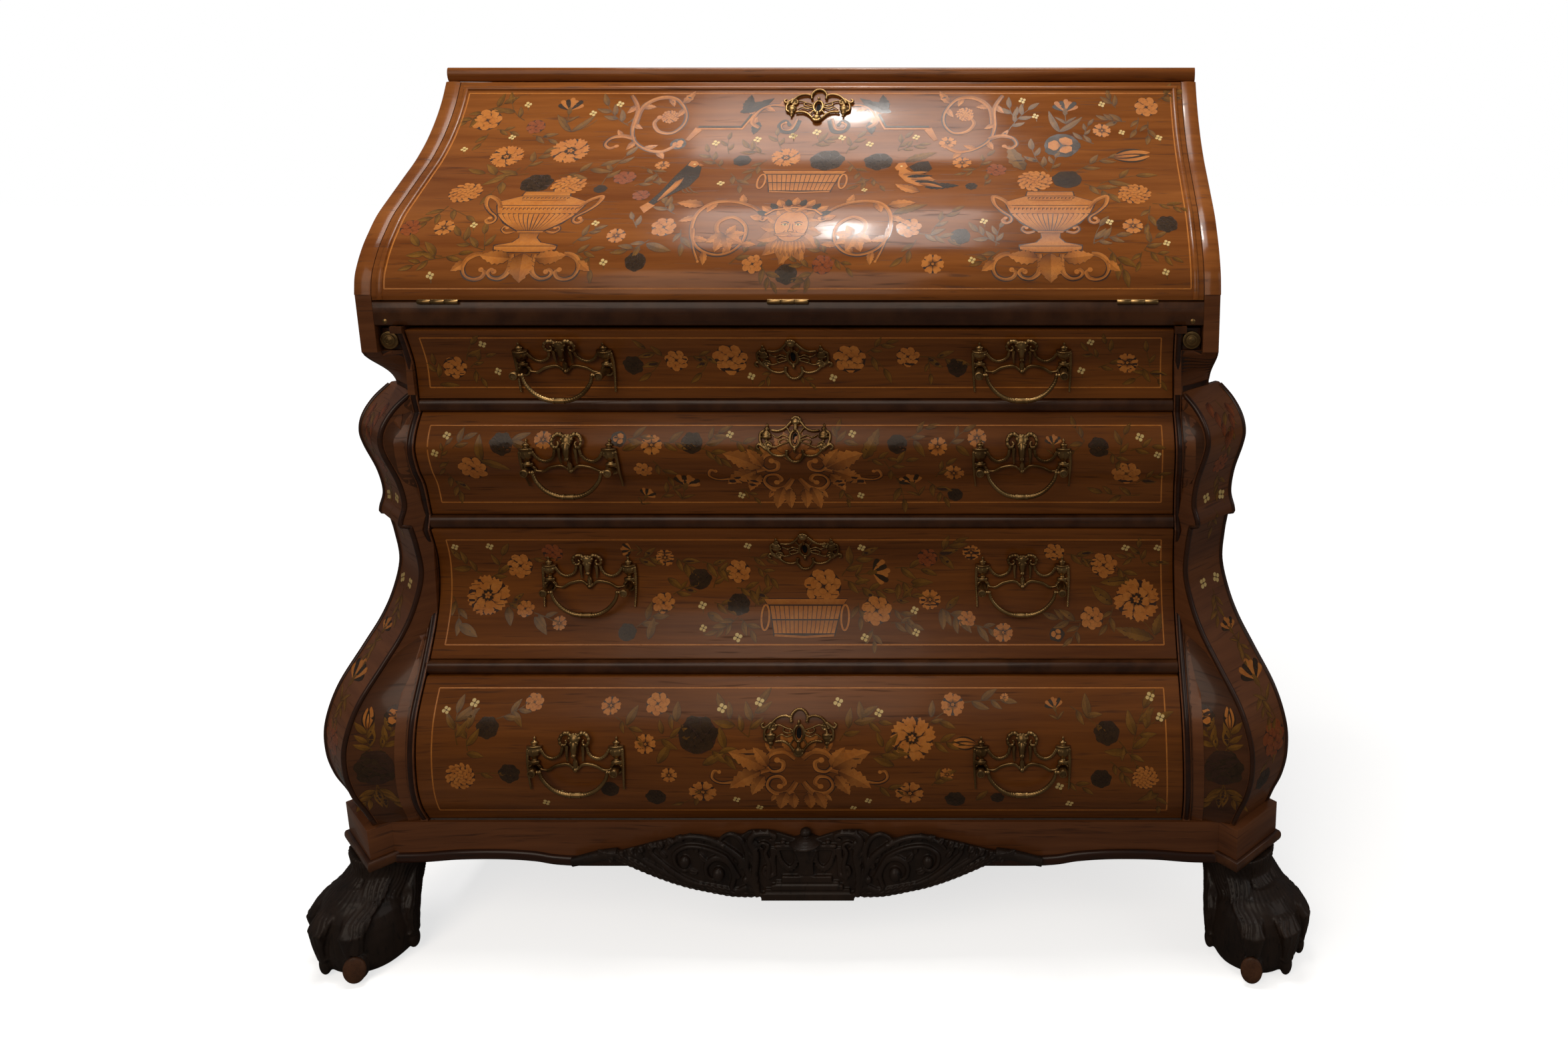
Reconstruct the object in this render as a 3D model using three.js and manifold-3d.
// Slant-front bureau with a serpentine fall, four swelling drawers, diagonal corner scrolls and ball-and-claw feet.
// Millimetres, +Z up, the front faces -Y. Heights are measured from the floor and depths from the face of
// the front rail, positive towards the back; the finished group is then centred over its own footprint.
import * as THREE from "three";
import { mergeVertices } from "three/addons/utils/BufferGeometryUtils.js";
import Module from "manifold-3d";

const wasm = await Module();
wasm.setup();

// Overall sizes
const caseWidth = 970;
const caseDepth = 540;
const totalHeight = 1078;
const sideThickness = 18;
const topThickness = 18;
const backThickness = 10;
const seatGap = 0.3;
const cutOverrun = 40;

// Fall and writing level
const writingHeight = 818;
const bedThickness = 18;
const railHeight = 27.5;
const railDepth = 44;
const fallRun = 272;
const fallTopThickness = 28;
const fallBottomGap = 1.6;
const fallBeadRadius = 3.2;
const fallBeadInset = 9;
const hingeWidth = 46;
const hingeLeafDepth = 16;
const hingeLeafThickness = 1.6;
const knuckleRadius = 2.6;
const hingeSpacing = 392;

// Drawers, from the top down
const firstDrawerTop = 785.5;
const drawerHeights = [85.5, 128, 155, 176];
const dividerPitch = 17;
const drawerGap = 1.2;
const openingMargin = 51;
const openingSpread = 20;
const bombeDepth = 50;
const frontMinThickness = 16;
const drawerWall = 10;
const drawerBottomThickness = 8;
const drawerBoxInset = 10;
const drawerBoxSink = 9;
const drawerBoxBackRoom = 24;
const beadProud = 4;
const stileBeadWidth = 9;
const stileWidth = 24;
const stileBack = 100;

// Lopers
const loperWidth = 22;
const loperHeight = 25.4;
const loperSlotHeight = 30.6;
const loperSlotWidth = 24;
const loperLength = 400;
const loperRecess = 12;
const knobRadius = 10.5;
const knobDepth = 11;

// Corner scrolls, set at 45 degrees: reaches run out from the case corner along the diagonal, and the
// offset runs square to it towards the back
const scrollOffset = 29;
const scrollHalfWidth = 37;
const scrollInner = -51;
const scrollTop = 706;
const scrollBottom = 187.3;
const scrollSwell = 124;
const neckTop = 752;
const neckReach = -6;

// Plinth and feet
const plinthTop = 187;
const plinthBottom = 133;
const plinthFace = -33;
const plinthThickness = 22;
const plinthMould = 5;
const apronDip = 9;
const blockHalfWidth = 42;
const blockFace = 60;
const blockInner = -43;
const plinthSideProud = 14;
const footHeight = plinthBottom - seatGap;
const ankleReach = 25;
const ankleOffset = 39;
const ankleHalf = 46;
const ballReach = 51.5;
const ballOffset = 43.5;
const ballRadius = 52;
const ballHeight = 88;
const ballFlat = 1.2;
const toeRadius = 13;
const backFootSize = 74;
const carvingHalf = 252;
const carvingTop = 152;
const carvingBottom = 66;
const carvingThickness = 13;

// Brass furniture
const handleSpacing = 262;
const plateHalfWidth = 59;
const plateHalfHeight = 34;
const plateThickness = 3;
const bossSpacing = 48;
const bossRadius = 5.2;
const bossReach = 12;
const pinRadius = 1.9;
const pinClearance = 0.4;
const bailWireRadius = 2.6;
const bailDrop = 27;
const keyPlateHalfWidth = 46;
const keyPlateHalfHeight = 26;
const keyholeRadius = 3.4;
const keyholeSlot = 9;

// Pigeonholes behind the fall
const galleryFront = 318;
const galleryWall = 9;
const galleryShelfShare = 0.34;
const galleryCentreHalf = 150;
const smallDrawerWall = 6;
const smallKnobRadius = 7;
const fallKeyShare = 0.109;
const fallKeySizeShare = 1.1;

const halfCase = caseWidth / 2;
const openingHalfTop = halfCase - openingMargin;
const openingHalfBottom = openingHalfTop + openingSpread;
const drawerBoxHalf = openingHalfTop - drawerBoxInset;
const sideInner = halfCase - sideThickness;
const undersideOfTop = totalHeight - topThickness;
const backInner = caseDepth - backThickness;
const drawerBoxBack = backInner - drawerBoxBackRoom;
const railBottom = writingHeight - railHeight;
const diagonal = Math.SQRT1_2;

// Shapes as shares of the sizes above, each list running from the top down or from the centre out
const drawerFaceShares = [
  [[0, 0], [0.28, 0.22], [0.55, 0.37], [1, 0.42]],
  [[0, 0.51], [0.1, 0.3], [0.22, 0.12], [0.34, 0.07], [0.52, 0.2], [0.7, 0.43], [1, 0.6]],
  [[0, 0.48], [0.22, 0.7], [0.42, 0.73], [0.62, 0.62], [0.8, 0.38], [1, 0]],
  [[0, -0.22], [0.2, -0.7], [0.36, -0.91], [0.52, -1], [0.7, -1], [0.86, -0.86], [1, -0.6]],
];
const fallOutlineShares = [
  [1, 1], [0.89, 0.83], [0.755, 0.685], [0.615, 0.575], [0.478, 0.492], [0.35, 0.416],
  [0.236, 0.346], [0.154, 0.276], [0.099, 0.222], [0.05, 0.159], [0.018, 0.103], [0, 0.03],
];
const scrollOutlineShares = [
  [0, 0.045], [0.03, 0.21], [0.065, 0.325], [0.1, 0.368], [0.135, 0.345], [0.2, 0.255], [0.255, 0.225],
  [0.29, 0.27], [0.303, 0.28], [0.31, 0.2], [0.36, 0.165], [0.43, 0.15], [0.5, 0.24], [0.56, 0.375],
  [0.62, 0.57], [0.7, 0.83], [0.78, 0.975], [0.85, 1], [0.91, 0.955], [0.96, 0.87], [1, 0.81],
];

function spline(points, count) {
  const curve = new THREE.SplineCurve(points.map(([a, b]) => new THREE.Vector2(a, b)));
  return curve.getPoints(count).map((p) => [p.x, p.y]);
}

// Height and setback of each drawer's face, sampled as a smooth curve.
const drawers = [];
let drawerTop = firstDrawerTop;
for (let i = 0; i < drawerHeights.length; i += 1) {
  const height = drawerHeights[i];
  const top = drawerTop;
  const knots = drawerFaceShares[i].map(([down, back]) => [top - down * height, back * bombeDepth]);
  const face = spline(knots, 3 * (knots.length - 1));
  drawers.push({ top, bottom: top - height, height, face });
  drawerTop -= height + dividerPitch;
}
const lastDrawer = drawers[drawers.length - 1];
const frontLine = drawers.flatMap((drawer) => drawer.face);

// Setback of the front at a height, read along the faces and straight across the dividers.
function setback(z) {
  if (z >= frontLine[0][0]) return frontLine[0][1];
  for (let i = 1; i < frontLine.length; i += 1) {
    const [z1, y1] = frontLine[i - 1];
    const [z2, y2] = frontLine[i];
    if (z >= z2) return y1 + ((z1 - z) / (z1 - z2)) * (y2 - y1);
  }
  return frontLine[frontLine.length - 1][1];
}

const weldShare = 0.0033;

// The same surface with only its places, each shared by the faces that meet there.
function sharedCorners(geometry) {
  const bare = geometry.clone();
  bare.deleteAttribute("normal");
  bare.deleteAttribute("uv");
  return mergeVertices(bare, seatGap * weldShare);
}

function solid(geometry) {
  const merged = sharedCorners(geometry);
  return new wasm.Manifold(
    new wasm.Mesh({
      numProp: 3,
      vertProperties: new Float32Array(merged.attributes.position.array),
      triVerts: new Uint32Array(merged.index.array),
    }),
  );
}

function geometryOf(body) {
  const mesh = body.getMesh();
  const geometry = new THREE.BufferGeometry();
  geometry.setAttribute("position", new THREE.BufferAttribute(new Float32Array(mesh.vertProperties), 3));
  geometry.setIndex(new THREE.BufferAttribute(new Uint32Array(mesh.triVerts), 1));
  geometry.computeVertexNormals();
  return geometry;
}

const join = (first, ...rest) =>
  geometryOf(rest.reduce((all, piece) => all.add(solid(piece)), solid(first)));
const cut = (first, ...rest) =>
  geometryOf(rest.reduce((left, piece) => left.subtract(solid(piece)), solid(first)));

const axisX = new THREE.Vector3(1, 0, 0);
const axisY = new THREE.Vector3(0, 1, 0);
const axisZ = new THREE.Vector3(0, 0, 1);
const backwards = new THREE.Vector3(0, -1, 0);

// A plane outline with its holes, turned the way round that the extrusion expects.
function prism(outline, depth, holes = []) {
  const loop = (pairs) => {
    const points = pairs.map(([a, b]) => new THREE.Vector2(a, b));
    return THREE.ShapeUtils.isClockWise(points) ? points.reverse() : points;
  };
  const shape = new THREE.Shape(loop(outline));
  holes.forEach((hole) => shape.holes.push(new THREE.Path(loop(hole))));
  return new THREE.ExtrudeGeometry(shape, { depth, bevelEnabled: false, steps: 1 });
}

// An outline in depth and height, carried across from x1 to x2.
function acrossX(outline, x1, x2) {
  return prism(outline, x2 - x1)
    .applyMatrix4(new THREE.Matrix4().makeBasis(axisY, axisZ, axisX))
    .translate(x1, 0, 0);
}

// An outline in width and height, carried back from y1 to y2.
function alongY(outline, y1, y2, holes = []) {
  return prism(outline, y2 - y1, holes)
    .applyMatrix4(new THREE.Matrix4().makeBasis(axisX, axisZ, backwards))
    .translate(0, y2, 0);
}

// An outline in width and depth, raised from z1 to z2.
const upZ = (outline, z1, z2) => prism(outline, z2 - z1).translate(0, 0, z1);

function box(x1, x2, y1, y2, z1, z2) {
  return new THREE.BoxGeometry(x2 - x1, y2 - y1, z2 - z1).translate((x1 + x2) / 2, (y1 + y2) / 2, (z1 + z2) / 2);
}

function mirrored(geometry) {
  const other = sharedCorners(geometry).applyMatrix4(new THREE.Matrix4().makeScale(-1, 1, 1));
  const index = other.index.array;
  for (let i = 0; i < index.length; i += 3) [index[i + 1], index[i + 2]] = [index[i + 2], index[i + 1]];
  other.computeVertexNormals();
  return other;
}

// The opening widens evenly towards the plinth, so stiles, drawer fronts and dividers share this spread.
const flareHeight = firstDrawerTop - lastDrawer.bottom;
const flareShare = (openingHalfBottom - openingHalfTop) / openingHalfTop;
const openingHalf = (z) => openingHalfTop * (1 + (flareShare * (firstDrawerTop - z)) / flareHeight);
function flared(geometry) {
  const place = geometry.attributes.position;
  for (let i = 0; i < place.count; i += 1) {
    place.setX(i, (place.getX(i) * openingHalf(place.getZ(i))) / openingHalfTop);
  }
  return geometry;
}

// A local frame on the right front corner: local X runs out along the diagonal, local Y along the ribbon.
const cornerFrame = new THREE.Matrix4()
  .makeBasis(new THREE.Vector3(diagonal, -diagonal, 0), new THREE.Vector3(diagonal, diagonal, 0), axisZ)
  .setPosition(halfCase, 0, 0);
const ontoCorner = (geometry) => geometry.applyMatrix4(cornerFrame);

// An outline in reach and height on the corner diagonal, as wide as the two places along the ribbon.
function onDiagonal(outline, t1, t2) {
  const raised = prism(outline, t2 - t1).applyMatrix4(new THREE.Matrix4().makeBasis(axisX, axisZ, backwards));
  return ontoCorner(raised.translate(0, t2, 0));
}

// Case: sides with their stiles, top, back, bottom and bed
const fallKnots = fallOutlineShares.map(([back, up]) => [
  back * fallRun, writingHeight + up * (totalHeight - writingHeight),
]);
const fallFace = spline(fallKnots, 2 * (fallKnots.length - 1));

// The face below a height, from the point where it crosses that height down to its foot.
function faceBelow(limit) {
  const first = fallFace.findIndex(([, z]) => z < limit);
  const [above, below] = [fallFace[first - 1], fallFace[first]];
  const share = (above[1] - limit) / (above[1] - below[1]);
  return [[above[0] + share * (below[0] - above[0]), limit], ...fallFace.slice(first)];
}

function casePanel() {
  const outline = [
    [caseDepth, plinthBottom],
    [caseDepth, undersideOfTop - seatGap],
    ...faceBelow(undersideOfTop - seatGap),
    [0, writingHeight],
    [0, scrollTop],
    [stileWidth, scrollTop],
    [stileWidth, plinthBottom],
  ];
  return acrossX(outline, sideInner, halfCase);
}

function caseStile() {
  const front = frontLine.map(([z, y]) => [y - beadProud / 2, z]);
  const outline = [[stileBack, railBottom - seatGap], [front[0][0], railBottom - seatGap], ...front];
  outline.push([front[front.length - 1][0], plinthTop + seatGap], [stileBack, plinthTop + seatGap]);
  return flared(acrossX(outline, openingHalfTop + drawerGap, openingHalfTop + stileWidth));
}

// The bead along the drawers follows their faces.
function stileBead() {
  const inward = openingHalfTop + drawerGap;
  const inner = frontLine.map(([z, y]) => [y, z]).reverse();
  const front = frontLine.map(([z, y]) => [y - beadProud, z]);
  return flared(acrossX([...front, ...inner], inward, inward + stileBeadWidth));
}

const slotOuter = sideInner - seatGap;
const slotInner = slotOuter - loperSlotWidth;
const slotBottom = railBottom - loperSlotHeight;

function caseSide() {
  const post = box(
    openingHalfBottom + 2 * drawerGap, sideInner + seatGap, drawerWall, stileBack, plinthTop + seatGap, slotBottom,
  );
  const neck = box(
    openingHalf(scrollTop) + drawerGap, halfCase, setback(neckTop), stileBack, scrollTop, slotBottom,
  );
  const runner = box(
    slotInner, sideInner + seatGap, stileBack - drawerWall, backInner - cutOverrun, slotBottom - drawerWall,
    slotBottom,
  );
  const slot = box(slotInner, sideInner, -cutOverrun, stileBack + cutOverrun, slotBottom, railBottom);
  const slab = onDiagonal(
    [
      [scrollInner - seatGap, plinthBottom - cutOverrun],
      [caseWidth, plinthBottom - cutOverrun],
      [caseWidth, neckTop],
      [neckReach, neckTop],
      [scrollInner, scrollTop + seatGap],
      [scrollInner - seatGap, scrollTop + seatGap],
    ],
    scrollOffset - scrollHalfWidth - seatGap,
    caseWidth,
  );
  return cut(join(casePanel(), post, neck, runner, caseStile(), stileBead()), slab, slot);
}

function topBoard() {
  const nose = topThickness / 2;
  const outline = [[caseDepth, undersideOfTop], [caseDepth, totalHeight]];
  outline.push([fallRun - nose / 2, totalHeight], [fallRun - nose, totalHeight - nose / 2]);
  outline.push([fallRun - nose, undersideOfTop + nose / 2], [fallRun - nose / 2, undersideOfTop]);
  return acrossX(outline, -halfCase, halfCase);
}

const backBoard = () =>
  box(
    -sideInner + seatGap, sideInner - seatGap, backInner, caseDepth, plinthTop + seatGap,
    undersideOfTop - seatGap,
  );

function bottomBoard() {
  const half = openingHalf(plinthTop);
  const front = plinthFace + plinthThickness + seatGap;
  const top = lastDrawer.bottom - drawerGap;
  const plan = [
    [-half, front], [half, front], [half, stileBack + seatGap], [sideInner - seatGap, stileBack + seatGap],
    [sideInner - seatGap, backInner - seatGap], [-sideInner + seatGap, backInner - seatGap],
    [-sideInner + seatGap, stileBack + seatGap], [-half, stileBack + seatGap],
  ];
  return upZ(plan, plinthTop - bedThickness, top);
}

function frontRail() {
  const rail = box(-sideInner + seatGap, sideInner - seatGap, 0, railDepth, railBottom, writingHeight);
  return cut(rail, ...hingePlaces.map((x) => hingeRecess(x)));
}

const writingBed = () =>
  box(
    -sideInner + seatGap, sideInner - seatGap, railDepth + seatGap, backInner - seatGap,
    writingHeight - bedThickness, writingHeight,
  );

// A divider carries the drawer above it on a full dust board and shows a rounded bead at the front.
function divider(above, below) {
  const top = above.bottom - drawerGap;
  const bottom = below.top + drawerGap;
  const middle = (top + bottom) / 2;
  const nose = (setback(top) + setback(bottom)) / 2;
  const radius = (top - bottom) / 2;
  const outline = [[backInner - seatGap, top], [nose + radius, top]];
  const arc = 6;
  for (let i = 1; i < arc; i += 1) {
    const turn = (Math.PI * i) / arc;
    outline.push([nose - beadProud * Math.sin(turn), middle + radius * Math.cos(turn)]);
  }
  outline.push([nose + radius, bottom], [backInner - seatGap, bottom]);
  return flared(acrossX(outline, -openingHalfTop, openingHalfTop));
}

// Fall: the outside sweeps in an S, the inside is flat and lies level with the bed when it is open
const fallLine = faceBelow(undersideOfTop - 2 * seatGap);
const fallInnerTop = [
  fallLine[0][0] + fallTopThickness * diagonal, fallLine[0][1] - fallTopThickness * diagonal,
];
const hingePlaces = [-hingeSpacing, 0, hingeSpacing];
const hingeAxis = [-knuckleRadius / 2, writingHeight];
const fallSlope = Math.atan2(fallInnerTop[1] - hingeAxis[1], fallInnerTop[0] - hingeAxis[0]);

function hingeRecess(x) {
  const reach = hingeAxis[0] + hingeLeafDepth + seatGap;
  const half = hingeWidth / 2 + seatGap;
  const bed = box(
    x - half, x + half, -cutOverrun, reach, writingHeight - hingeLeafThickness - seatGap,
    writingHeight + cutOverrun,
  );
  const round = rod(x - half, x + half, hingeAxis, knuckleRadius + seatGap);
  return join(bed, round);
}

function rod(x1, x2, [y, z], radius, sides = 12) {
  return new THREE.CylinderGeometry(radius, radius, x2 - x1, sides)
    .rotateZ(Math.PI / 2)
    .translate((x1 + x2) / 2, y, z);
}

function fallPanel() {
  const lowest = writingHeight + fallBottomGap;
  const toe = hingeAxis[0] + fallBottomGap / Math.tan(fallSlope);
  const outline = [[fallInnerTop[0], fallLine[0][1]], ...fallLine.slice(0, -1)];
  outline.push([0, lowest], [toe, lowest], fallInnerTop);
  const half = sideInner - 2 * seatGap;
  const board = acrossX(outline, -half, half);
  const sides = [-1, 1].map((side) => {
    const centre = side * (half - fallBeadInset);
    return fallBead(lineLength(fallLine) - fallBeadInset, centre - fallBeadRadius, centre + fallBeadRadius);
  });
  const top = fallBead(fallBeadInset + fallBeadRadius, -half + fallBeadInset, half - fallBeadInset);
  const leaves = hingePlaces.map((x) => fallLeafRoom(x));
  return cut(join(board, ...sides, top), ...leaves);
}

// A raised strip on the fall, from its inset below the top edge down the face to a distance along it.
function fallBead(end, x1, x2) {
  const rail = stretch(fallLine, fallBeadInset - fallBeadRadius, end);
  const out = rail.map((_, i) => shiftedOut(rail, i, fallBeadRadius / 2));
  const under = rail.map((_, i) => shiftedOut(rail, i, -fallBeadRadius)).reverse();
  return acrossX([...out, ...under], x1, x2);
}

const lineLength = (line) =>
  line.slice(1).reduce((sum, [y, z], i) => sum + Math.hypot(y - line[i][0], z - line[i][1]), 0);

// The stretch of a line between two distances along it.
function stretch(line, start, end) {
  const at = (distance) => {
    let left = distance;
    for (let i = 1; i < line.length; i += 1) {
      const step = lineLength(line.slice(i - 1, i + 1));
      if (left <= step || i === line.length - 1) {
        return line[i].map((value, k) => line[i - 1][k] + (left / step) * (value - line[i - 1][k]));
      }
      left -= step;
    }
    return line[0];
  };
  const middle = line.filter((_, i) => {
    const reached = lineLength(line.slice(0, i + 1));
    return reached > start + seatGap && reached < end - seatGap;
  });
  return [at(start), ...middle, at(end)];
}

// A point of a line in depth and height, moved square to it towards the front.
function shiftedOut(line, i, distance) {
  const before = line[Math.max(i - 1, 0)];
  const after = line[Math.min(i + 1, line.length - 1)];
  const along = [after[0] - before[0], after[1] - before[1]];
  const length = Math.hypot(...along);
  return [line[i][0] + (along[1] / length) * distance, line[i][1] - (along[0] / length) * distance];
}

// The moving leaf lies along the flat inside of the fall, let in flush.
function fallLeafOutline(grow) {
  const along = [Math.cos(fallSlope), Math.sin(fallSlope)];
  const up = [-along[1], along[0]];
  const near = knuckleRadius / 2;
  const far = hingeLeafDepth + knuckleRadius + grow;
  const high = hingeLeafThickness + grow;
  const at = (a, b) => [
    hingeAxis[0] + a * along[0] + b * up[0], hingeAxis[1] + a * along[1] + b * up[1],
  ];
  return [at(near, -grow), at(far, -grow), at(far, high), at(near, high)];
}

function fallLeafRoom(x) {
  const half = hingeWidth / 2 + seatGap;
  const room = acrossX(fallLeafOutline(seatGap), x - half, x + half);
  return join(room, rod(x - half, x + half, hingeAxis, knuckleRadius + seatGap));
}

// Each butt hinge has a bed leaf with the two outer knuckles and a fall leaf with the middle one.
function bedLeaf(x) {
  const half = hingeWidth / 2;
  const third = hingeWidth / 3;
  const leaf = box(
    x - half, x + half, hingeAxis[0] + knuckleRadius / 2, hingeAxis[0] + hingeLeafDepth,
    writingHeight - hingeLeafThickness, writingHeight,
  );
  const middle = box(
    x - third / 2 - seatGap, x + third / 2 + seatGap, -cutOverrun, hingeAxis[0] + knuckleRadius + 2 * seatGap,
    writingHeight - cutOverrun, writingHeight + cutOverrun,
  );
  const knuckles = rod(x - half, x + half, hingeAxis, knuckleRadius);
  return cut(join(leaf, knuckles), middle);
}

function fallLeaf(x) {
  const half = hingeWidth / 2;
  const third = hingeWidth / 3;
  const knuckle = rod(x - third / 2, x + third / 2, hingeAxis, knuckleRadius);
  const leaf = acrossX(fallLeafOutline(0), x - half, x + half);
  const sides = [-1, 1].map((side) => {
    const near = x + side * (third / 2 + seatGap / 2);
    const far = x + side * (half + cutOverrun);
    return rod(Math.min(near, far), Math.max(near, far), hingeAxis, knuckleRadius + 2 * seatGap);
  });
  return cut(join(leaf, knuckle), ...sides);
}

// Lopers with their knobs
function loper(x) {
  const arm = box(
    x - loperWidth / 2, x + loperWidth / 2, loperRecess, loperRecess + loperLength,
    slotBottom + seatGap, slotBottom + seatGap + loperHeight,
  );
  const neckRadius = knobRadius / 2;
  const profile = [
    [0, 0], [neckRadius, 0], [neckRadius, knobDepth / 3], [knobRadius, knobDepth / 2],
    [knobRadius, (knobDepth * 3) / 4], [neckRadius, knobDepth], [0, knobDepth],
  ];
  const knob = new THREE.LatheGeometry(profile.map(([r, h]) => new THREE.Vector2(r, h)), 16)
    .rotateX(Math.PI / 2)
    .translate(x, loperRecess + seatGap, slotBottom + seatGap + loperHeight / 2);
  return join(arm, knob);
}

// A drawer front is cut from thick wood: swelling outside, flat inside.
const backOf = (drawer) => Math.max(...drawer.face.map(([, y]) => y)) + frontMinThickness;

function drawerFront(drawer) {
  const back = backOf(drawer);
  const outline = [[back, drawer.top], ...drawer.face.map(([z, y]) => [y, z]), [back, drawer.bottom]];
  return flared(acrossX(outline, -openingHalfTop, openingHalfTop));
}

function drawerBox(drawer) {
  const front = backOf(drawer) + seatGap;
  const top = drawer.top - drawerBoxSink;
  const bottom = drawer.bottom - drawerGap + seatGap;
  return cut(
    box(-drawerBoxHalf, drawerBoxHalf, front, drawerBoxBack, bottom, top),
    box(
      -drawerBoxHalf + drawerWall, drawerBoxHalf - drawerWall, front - cutOverrun, drawerBoxBack - drawerWall,
      bottom + drawerBottomThickness, top + cutOverrun,
    ),
  );
}

// Corner scrolls
function cornerScroll() {
  const height = scrollTop - scrollBottom;
  const knots = scrollOutlineShares.map(([down, out]) => [
    scrollInner + out * scrollSwell, scrollTop - down * height,
  ]);
  const shoulder = spline(knots.slice(0, 9), 16);
  const belly = spline(knots.slice(9), 22);
  const outline = [[scrollInner, scrollTop], ...shoulder, ...belly, [scrollInner, scrollBottom]];
  const plate = onDiagonal(outline, scrollOffset - scrollHalfWidth, scrollOffset + scrollHalfWidth);
  const opening = box(
    0, openingHalfTop + drawerGap, -stileBack, stileBack, scrollBottom - cutOverrun, scrollTop + cutOverrun,
  );
  return cut(plate, flared(opening));
}

// Plinth: a shaped front board with a rounded lower mould, and sides that carry the diagonal corner blocks
const mouldRiseShare = 2.6;
const apronLowShares = [
  [0, 0.9], [0.12, 0.95], [0.5, 1.05], [0.6, 0.9], [0.66, 0.35], [0.74, 0.05], [0.84, 0.1], [0.93, 0.5], [1, 0.6],
];
const apronHalf = halfCase + (scrollOffset - blockHalfWidth) / diagonal - plinthFace - seatGap;

function plinthFront() {
  const low = plinthBottom + apronDip / 2;
  const line = spline(apronLowShares.map(([out, down]) => [out * apronHalf, low - down * apronDip]), 22);
  const edge = [...line.map(([x, z]) => [-x, z]).reverse(), ...line.slice(1)];
  const board = alongY(
    [...edge, [apronHalf, plinthTop - seatGap], [-apronHalf, plinthTop - seatGap]],
    plinthFace,
    plinthFace + plinthThickness,
  );
  const mould = [...edge, ...edge.map(([x, z]) => [x, z + mouldRiseShare * plinthMould]).reverse()];
  const roll = alongY(mould, plinthFace - plinthMould, plinthFace + plinthThickness);
  const cornerRoom = (low, high, proud) =>
    onDiagonal(
      [[blockInner, low], [caseWidth, low], [caseWidth, high], [blockInner, high]],
      scrollOffset - blockHalfWidth - proud - seatGap,
      caseWidth,
    );
  const block = cornerRoom(plinthBottom - cutOverrun, scrollBottom + cutOverrun, 0);
  const mouldEnd = cornerRoom(plinthBottom - cutOverrun, plinthBottom + 3 * plinthMould + seatGap, plinthMould);
  return cut(join(board, roll), block, mirrored(block), mouldEnd, mirrored(mouldEnd));
}

function plinthSide() {
  const low = scrollOffset - blockHalfWidth;
  const high = scrollOffset + blockHalfWidth;
  const block = onDiagonal(
    [
      [blockInner, plinthBottom], [blockFace, plinthBottom], [blockFace, plinthTop], [blockInner, plinthTop],
    ],
    low,
    high,
  );
  const mould = onDiagonal(
    [
      [blockInner, plinthBottom], [blockFace, plinthBottom], [blockFace + plinthMould, plinthBottom + plinthMould],
      [blockFace + plinthMould, plinthBottom + 2 * plinthMould], [blockFace, plinthBottom + 3 * plinthMould],
      [blockInner, plinthBottom + 3 * plinthMould],
    ],
    low - plinthMould,
    high + plinthMould,
  );
  const outer = halfCase + plinthSideProud;
  const board = box(halfCase + seatGap, outer, stileWidth, caseDepth, plinthBottom, plinthTop);
  const bottomEnd = openingHalf(plinthTop) + seatGap;
  const room = box(0, bottomEnd, -caseDepth, stileBack, plinthTop - bedThickness - seatGap, plinthTop + seatGap);
  return cut(join(block, mould, board), room);
}

// Carved ornament on the middle of the apron: an urn on its step between leafy scrolls
const carvingShares = [
  [0, 0], [0.222, 0], [0.4, 0.07], [0.6, 0.19], [0.8, 0.35], [0.92, 0.48], [1, 0.58], [0.93, 0.64], [0.86, 0.72],
  [0.79, 0.8], [0.72, 0.86], [0.65, 0.91], [0.56, 0.93], [0.49, 0.88], [0.41, 0.82], [0.37, 0.93], [0.31, 0.92],
  [0.26, 0.97], [0.16, 0.95], [0.12, 0.85], [0.05, 0.88], [0.03, 1], [0, 1],
];

function apronCarving() {
  const height = carvingTop - carvingBottom;
  const half = carvingShares.map(([out, up]) => [out * carvingHalf, carvingBottom + up * height]);
  const outline = [...half.slice(1, -1), ...half.slice(1, -1).map(([x, z]) => [-x, z]).reverse()];
  const face = plinthFace - plinthMould - seatGap;
  return alongY(outline, face - carvingThickness, face);
}

// Front feet: a clawed paw clasps a ball. Ankle rows hold height, lean and width; toe rows hold height, lean,
// distance from the middle and width. The lean runs from the corner block out to the ball.
const ankleShares = [[1, 0, 1], [0.87, 0.05, 0.96], [0.72, 0.25, 0.92], [0.55, 0.6, 0.94], [0.4, 1, 0.86]];
const toeShares = [
  [0.95, 0, 0.7, 0.8], [0.78, 0.15, 0.8, 0.86], [0.63, 0.5, 0.94, 1], [0.5, 0.9, 1.03, 1.08], [0.35, 1, 1.04, 0.95],
  [0.2, 1, 1.03, 0.84], [0.1, 1, 1, 0.76],
];
const shortToeShares = [
  [0.9, 0, 0.7, 0.7], [0.72, 0.2, 0.77, 0.76], [0.56, 0.7, 0.86, 0.84], [0.42, 1, 0.92, 0.76], [0.26, 1, 0.94, 0.66],
];
const toeTurns = [-13, 32, 77];
const shortToeTurns = [-84, 140];
const clawShares = [0.78, 0.78, 1.05];
const squarenessShare = 0.75;

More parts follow.
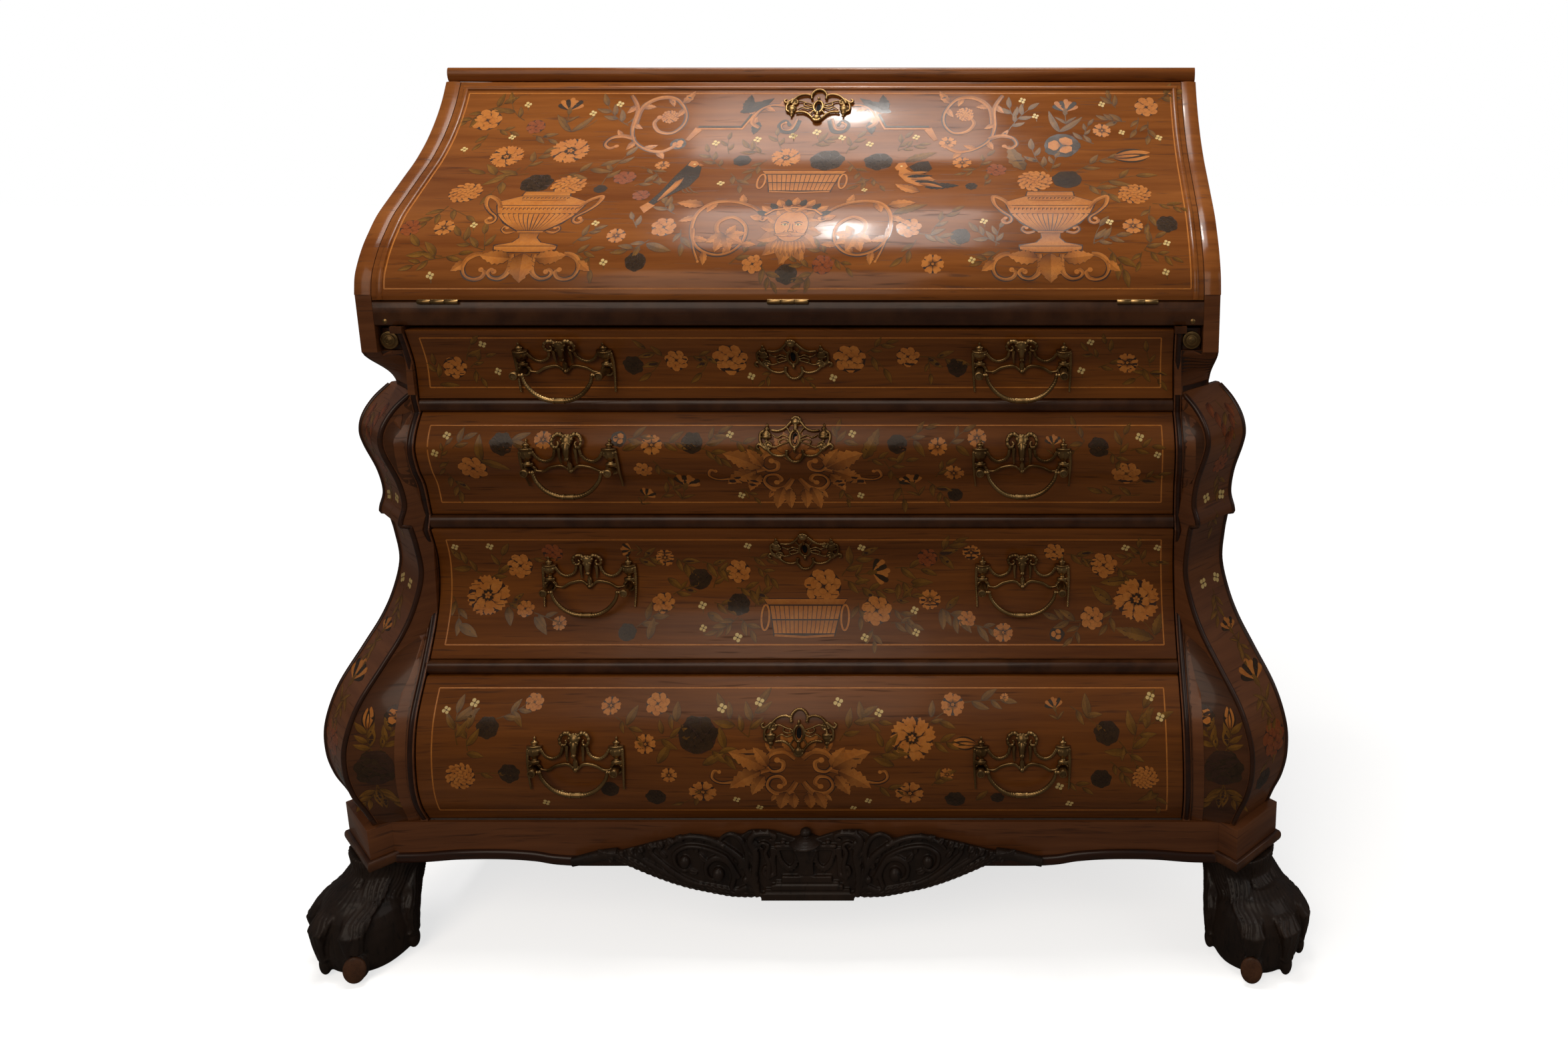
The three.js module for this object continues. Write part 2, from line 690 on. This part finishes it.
function roundedLoft(sections, sides) {
  const points = [];
  const faces = [];
  sections.forEach(({ x, y, z, halfX, halfY }) => {
    for (let i = 0; i < sides; i += 1) {
      const turn = (2 * Math.PI * i) / sides;
      const [cx, cy] = [Math.cos(turn), Math.sin(turn)].map((c) => Math.sign(c) * Math.abs(c) ** squarenessShare);
      points.push(x + halfX * cx, y + halfY * cy, z);
    }
  });
  const rings = sections.length;
  for (let ring = 0; ring < rings - 1; ring += 1) {
    for (let i = 0; i < sides; i += 1) {
      const a = ring * sides + i;
      const b = ring * sides + ((i + 1) % sides);
      faces.push(a, b + sides, b, a, a + sides, b + sides);
    }
  }
  for (let i = 1; i < sides - 1; i += 1) {
    faces.push(0, i, i + 1);
    const last = (rings - 1) * sides;
    faces.push(last, last + i + 1, last + i);
  }
  const geometry = new THREE.BufferGeometry();
  geometry.setAttribute("position", new THREE.BufferAttribute(new Float32Array(points), 3));
  geometry.setIndex(faces);
  return geometry;
}

function leaning(lean) {
  return [ankleReach + lean * (ballReach - ankleReach), ankleOffset + lean * (ballOffset - ankleOffset)];
}

function toe(rows, turn) {
  const way = ((turn - 45) * Math.PI) / 180;
  const sections = rows.map(([up, lean, out, wide]) => {
    const [x, y] = leaning(lean);
    return {
      x: x + Math.cos(way) * out * ballRadius,
      y: y + Math.sin(way) * out * ballRadius,
      z: up * footHeight,
      halfX: wide * toeRadius,
      halfY: wide * toeRadius,
    };
  });
  const end = sections[sections.length - 1];
  const claw = new THREE.SphereGeometry(toeRadius, 6, 4)
    .rotateX(Math.PI / 2)
    .scale(...clawShares)
    .translate(end.x, end.y, Math.max(end.z - toeRadius, clawShares[0] * toeRadius));
  return [roundedLoft(sections, 8), claw];
}

function frontPaw() {
  const sections = ankleShares.map(([up, lean, wide]) => {
    const [x, y] = leaning(lean);
    return { x, y, z: up * footHeight, halfX: wide * ankleHalf, halfY: wide * ankleHalf };
  });
  const ball = new THREE.SphereGeometry(ballRadius, 14, 8)
    .rotateX(Math.PI / 2)
    .scale(1, 1, ballHeight / 2 / ballRadius)
    .translate(ballReach, ballOffset, ballHeight / 2 - ballFlat);
  const toes = [
    ...toeTurns.flatMap((turn) => toe(toeShares, turn)),
    ...shortToeTurns.flatMap((turn) => toe(shortToeShares, turn)),
  ];
  const floor = box(-caseWidth, caseWidth, -caseWidth, caseWidth, -cutOverrun, 0);
  return ontoCorner(cut(join(roundedLoft(sections, 14), ball, ...toes), floor));
}

function backFoot() {
  const outer = halfCase + plinthSideProud;
  const centre = outer - backFootSize / 2;
  const sections = [
    [1, 0.5], [0.8, 0.5], [0.5, 0.42], [0.2, 0.36], [0, 0.34],
  ].map(([up, wide]) => ({
    x: centre, y: caseDepth - backFootSize / 2, z: up * footHeight, halfX: wide * backFootSize, halfY: wide * backFootSize,
  }));
  return roundedLoft(sections, 16);
}

// Brass furniture: pierced handle plates bedded on the curved fronts, bails in their bosses, key plates
const plateShares = [
  [0, 0.94], [0.14, 1], [0.27, 0.92], [0.31, 0.7], [0.24, 0.5], [0.42, 0.38], [0.58, 0.36], [0.7, 0.52],
  [0.76, 0.6], [0.82, 0.84], [0.88, 0.6], [0.99, 0.52], [0.97, 0.2], [1, -0.5], [0.96, -1], [0.9, -0.6],
  [0.89, -0.36], [0.74, -0.36], [0.6, -0.02], [0.36, -0.05], [0.12, -0.28], [0, -0.36],
];
const piercingShares = [[0.3, 0.14], [0.56, 0.12], [0.7, 0.02], [0.7, 0.3], [0.56, 0.22], [0.34, 0.26]];

function symmetric(half) {
  const left = half.slice(1, -1).map(([x, z]) => [-x, z]).reverse();
  return [...half, ...left];
}

function placedHandle(drawer, heightShare) {
  const z = drawer.bottom + heightShare * drawer.height;
  const near = drawer.face.filter(([at]) => Math.abs(at - z) < plateHalfHeight + bailDrop / 2);
  const proud = Math.min(...near.map(([, y]) => y));
  return { z, face: proud - plateThickness };
}

function handlePlate(drawer, x, place) {
  const outline = symmetric(plateShares.map(([out, up]) => [out * plateHalfWidth, up * plateHalfHeight]));
  const hole = piercingShares.map(([out, up]) => [out * plateHalfWidth, up * plateHalfHeight]);
  const holes = [hole, hole.map(([a, b]) => [-a, b])];
  const plate = alongY(outline, place.face, place.face + bombeDepth, holes).translate(x, 0, place.z);
  const pivot = bailPivot(place);
  const bosses = [-1, 1].map((side) =>
    new THREE.CylinderGeometry(bossRadius, bossRadius, bossReach + bossRadius, 10)
      .translate(x + side * bossSpacing, place.face - (bossReach - bossRadius) / 2, pivot[1]),
  );
  const bore = rod(x - plateHalfWidth, x + plateHalfWidth, pivot, pinRadius + pinClearance, 6);
  const wood = drawerFront(drawer).translate(0, -seatGap, 0);
  const behind = box(
    -caseWidth, caseWidth, place.face + frontMinThickness, caseDepth, 0, totalHeight,
  );
  return cut(join(plate, ...bosses), bore, wood, behind);
}

const wireSides = 6;
const bailHeightShare = 0.22;
const bailShares = [[1, 0], [0.92, 0.34], [0.68, 0.72], [0.36, 0.95], [0, 1]];
const bailPivot = (place) => [place.face - bossReach + bossRadius, place.z - bailHeightShare * plateHalfHeight];

function bail(x, place) {
  const [y, z] = bailPivot(place);
  const wide = bossSpacing - bossRadius - bailWireRadius - 2 * seatGap;
  const pin = bossSpacing + bossRadius / 2;
  const drop = bailDrop + bailWireRadius;
  const right = bailShares.map(([out, down]) => [out * wide, -down * drop]);
  const points = [...right, ...right.slice(0, -1).map(([a, b]) => [-a, b]).reverse()];
  const curve = new THREE.CatmullRomCurve3(points.map(([a, b]) => new THREE.Vector3(x + a, y, z + b)));
  const section = new THREE.Shape(
    Array.from({ length: wireSides }, (_, i) => {
      const turn = (2 * Math.PI * i) / wireSides;
      return new THREE.Vector2(bailWireRadius * Math.cos(turn), bailWireRadius * Math.sin(turn));
    }),
  );
  const loop = new THREE.ExtrudeGeometry(section, { steps: 9, bevelEnabled: false, extrudePath: curve });
  const pins = [-1, 1].map((side) => {
    const ends = [x + side * pin, x + side * wide].sort((a, b) => a - b);
    return rod(ends[0], ends[1], [y, z], pinRadius, wireSides);
  });
  const knees = [-1, 1].map((side) =>
    new THREE.SphereGeometry(bailWireRadius, wireSides, 4).translate(x + side * wide, y, z),
  );
  return join(loop, ...pins, ...knees);
}

const keyPlateShares = [
  [0, 0.95], [0.16, 1], [0.22, 0.7], [0.34, 0.62], [0.44, 0.86], [0.56, 0.6], [0.8, 0.56], [1, 0.3], [0.94, -0.1],
  [0.7, -0.3], [0.5, -0.5], [0.34, -0.8], [0.2, -1], [0, -0.92],
];

function keyholePath(z) {
  const hole = [];
  for (let i = 0; i <= 8; i += 1) {
    const turn = Math.PI * (-0.35 + (1.7 * i) / 8);
    hole.push([keyholeRadius * Math.cos(turn), z + keyholeRadius * Math.sin(turn)]);
  }
  hole.push([-keyholeRadius / 3, z - keyholeSlot], [keyholeRadius / 3, z - keyholeSlot]);
  return hole;
}

function keyPlate(z, proud, sizeShare, flip, bed, wood) {
  const up = flip ? -1 : 1;
  const outline = symmetric(
    keyPlateShares.map(([a, b]) => [a * keyPlateHalfWidth, z + up * b * keyPlateHalfHeight * sizeShare]),
  );
  const plate = alongY(outline, proud - plateThickness, proud + bed, [keyholePath(z)]);
  return wood ? cut(plate, wood) : plate;
}

// The fall's key plate lies on the slope near its top edge, with the keyhole turned over.
function fallKeyPlate() {
  const place = fallKeyShare * (fallLine.length - 1);
  const [last, next] = [fallLine[Math.floor(place)], fallLine[Math.ceil(place)]];
  const at = last.map((value, i) => value + (place % 1) * (next[i] - value));
  const slope = Math.atan2(at[1] - next[1], at[0] - next[0]);
  const out = [-Math.sin(slope), Math.cos(slope)];
  const reach = keyPlateHalfHeight * fallKeySizeShare;
  const proud = Math.max(
    ...fallLine
      .map(([y, z]) => [y - at[0], z - at[1]])
      .filter(([y, z]) => Math.hypot(y, z) < reach)
      .map(([y, z]) => y * out[0] + z * out[1]),
  );
  const plate = keyPlate(0, -proud - seatGap, fallKeySizeShare, true, fallTopThickness / 3)
    .rotateX(slope - Math.PI / 2)
    .translate(0, at[0], at[1]);
  return cut(plate, fallPanel().translate(0, out[0] * seatGap, out[1] * seatGap));
}

// Pigeonholes
const galleryMiddle = writingHeight + galleryShelfShare * (undersideOfTop - writingHeight);
const bayEdges = [-sideInner + 2 * seatGap, -galleryCentreHalf, galleryCentreHalf, sideInner - 2 * seatGap];
const galleryTop = undersideOfTop - seatGap;
const galleryBack = backInner - seatGap;

function deskGallery() {
  const body = box(
    bayEdges[0], bayEdges[3], galleryFront, galleryBack, writingHeight + seatGap, galleryTop,
  );
  const bays = [];
  for (let column = 0; column < 3; column += 1) {
    const x1 = bayEdges[column] + (column === 0 ? galleryWall : galleryWall / 2);
    const x2 = bayEdges[column + 1] - (column === 2 ? galleryWall : galleryWall / 2);
    const y1 = galleryFront - cutOverrun;
    const y2 = galleryBack - galleryWall;
    bays.push(box(x1, x2, y1, y2, writingHeight + seatGap + galleryWall, galleryMiddle - galleryWall / 2));
    bays.push(box(x1, x2, y1, y2, galleryMiddle + galleryWall / 2, galleryTop - galleryWall));
  }
  return cut(body, ...bays);
}

function galleryDrawer() {
  const half = galleryCentreHalf - galleryWall / 2 - 2 * seatGap;
  const bottom = writingHeight + 2 * seatGap + galleryWall;
  const top = galleryMiddle - galleryWall / 2 - 2 * seatGap;
  const back = galleryBack - galleryWall - 2 * seatGap;
  const shell = cut(
    box(-half, half, galleryFront, back, bottom, top),
    box(
      -half + smallDrawerWall, half - smallDrawerWall, galleryFront + smallDrawerWall, back - smallDrawerWall,
      bottom + smallDrawerWall, top + cutOverrun,
    ),
  );
  const knob = new THREE.SphereGeometry(smallKnobRadius, 12, 8).translate(
    0, galleryFront - smallKnobRadius / 2, (bottom + top) / 2,
  );
  return join(shell, knob);
}

// Finishes
const finish = (color, roughness, metalness = 0) => new THREE.MeshStandardMaterial({ color, roughness, metalness });
const walnut = () => finish(0x7a4a26, 0.42);
const darkCarving = () => finish(0x33231a, 0.5);
const darkTrim = () => finish(0x4a2d1b, 0.45);
const inside = () => finish(0x9a6f42, 0.6);
const brass = () => finish(0x8a7440, 0.4, 0.9);

const bureau = new THREE.Group();
function add(name, geometry, material) {
  const mesh = new THREE.Mesh(geometry, material);
  mesh.name = name;
  bureau.add(mesh);
}

const side = caseSide();
add("side_right", side, walnut());
add("side_left", mirrored(side), walnut());
add("top_board", topBoard(), walnut());
add("back_board", backBoard(), inside());
add("bottom_board", bottomBoard(), inside());
add("front_rail", frontRail(), darkTrim());
add("writing_bed", writingBed(), walnut());
for (let i = 0; i < drawers.length - 1; i += 1) {
  add(`drawer_divider_${i + 1}`, divider(drawers[i], drawers[i + 1]), darkTrim());
}
const scroll = cornerScroll();
add("corner_scroll_right", scroll, walnut());
add("corner_scroll_left", mirrored(scroll), walnut());
add("plinth_front", plinthFront(), darkTrim());
const plinthEnd = plinthSide();
add("plinth_side_right", plinthEnd, darkTrim());
add("plinth_side_left", mirrored(plinthEnd), darkTrim());
add("apron_carving", apronCarving(), darkCarving());
const paw = frontPaw();
add("foot_front_right", paw, darkCarving());
add("foot_front_left", mirrored(paw), darkCarving());
const plainFoot = backFoot();
add("foot_back_right", plainFoot, darkCarving());
add("foot_back_left", mirrored(plainFoot), darkCarving());
add("desk_gallery", deskGallery(), inside());
add("gallery_drawer", galleryDrawer(), inside());
add("fall_panel", fallPanel(), walnut());
add("key_plate_fall", fallKeyPlate(), brass());
hingePlaces.forEach((x, i) => {
  add(`hinge_bed_leaf_${i + 1}`, bedLeaf(x), brass());
  add(`hinge_fall_leaf_${i + 1}`, fallLeaf(x), brass());
});
const loperPlace = (slotInner + slotOuter) / 2;
const arm = loper(loperPlace);
add("loper_right", arm, walnut());
add("loper_left", mirrored(arm), walnut());

const handleHeightShares = [0.5, 0.56, 0.56, 0.5];
const keyHeightShares = [0.6, 0.8, 0.82, 0.68];
const keySizeShares = [0.8, 0.92, 0.85, 1.15];
drawers.forEach((drawer, i) => {
  const number = i + 1;
  add(`drawer_${number}_front`, drawerFront(drawer), walnut());
  add(`drawer_${number}_box`, drawerBox(drawer), inside());
  const place = placedHandle(drawer, handleHeightShares[i]);
  [["left", -handleSpacing], ["right", handleSpacing]].forEach(([name, x]) => {
    add(`handle_plate_${number}_${name}`, handlePlate(drawer, x, place), brass());
    add(`handle_bail_${number}_${name}`, bail(x, place), brass());
  });
  const keyAt = drawer.bottom + keyHeightShares[i] * drawer.height;
  const reach = keyPlateHalfHeight * keySizeShares[i];
  const near = drawer.face.filter(([z]) => Math.abs(z - keyAt) < reach);
  const proud = Math.min(...near.map(([, y]) => y));
  const wood = drawerFront(drawer).translate(0, -seatGap, 0);
  add(`key_plate_${number}`, keyPlate(keyAt, proud, keySizeShares[i], i === 3, frontMinThickness, wood), brass());
});

// The finished group stands centred over its own footprint.
const footprint = new THREE.Box3().setFromObject(bureau);
const middleDepth = (footprint.min.y + footprint.max.y) / 2;
bureau.children.forEach((mesh) => mesh.position.setY(-middleDepth));

export default bureau;
